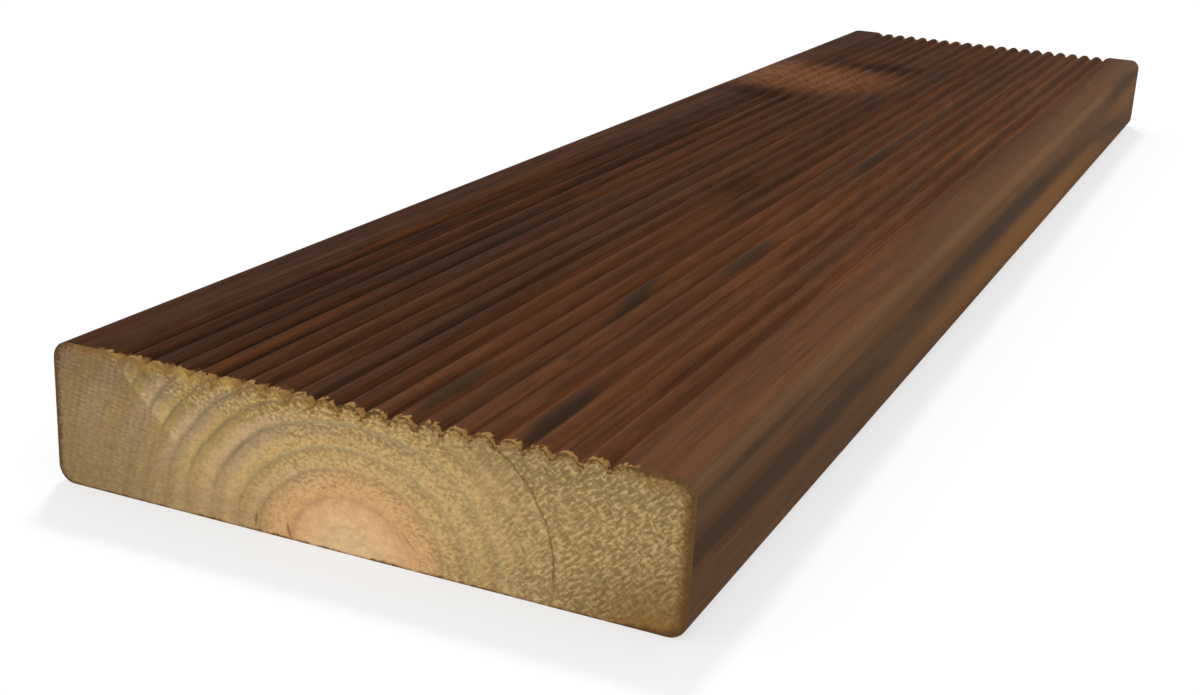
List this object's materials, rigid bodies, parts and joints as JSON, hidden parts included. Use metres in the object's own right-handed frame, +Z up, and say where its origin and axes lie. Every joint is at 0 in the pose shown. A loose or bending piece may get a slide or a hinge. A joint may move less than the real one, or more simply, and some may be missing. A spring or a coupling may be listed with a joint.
{
  "type": "decking board",
  "caption": "Short length of brown-treated softwood decking board: finely reeded walking face, plain underside, rounded long edges and square-sawn pale ends.",
  "frame": {"origin": "centre of the underside, on the plane that the board lies on", "axes": "+X across the width, +Y along the length, away from the end that the picture shows nearest, +Z up out of the reeded face"},
  "size_m": [0.145, 0.6, 0.032],
  "materials": {
    "stained_timber": "brown stain on planed and reeded softwood, satin, with a pale unstained sawn surface at both ends"
  },
  "bodies": {
    "root": {"decking_board": "stained_timber"}
  },
  "joints": []
}
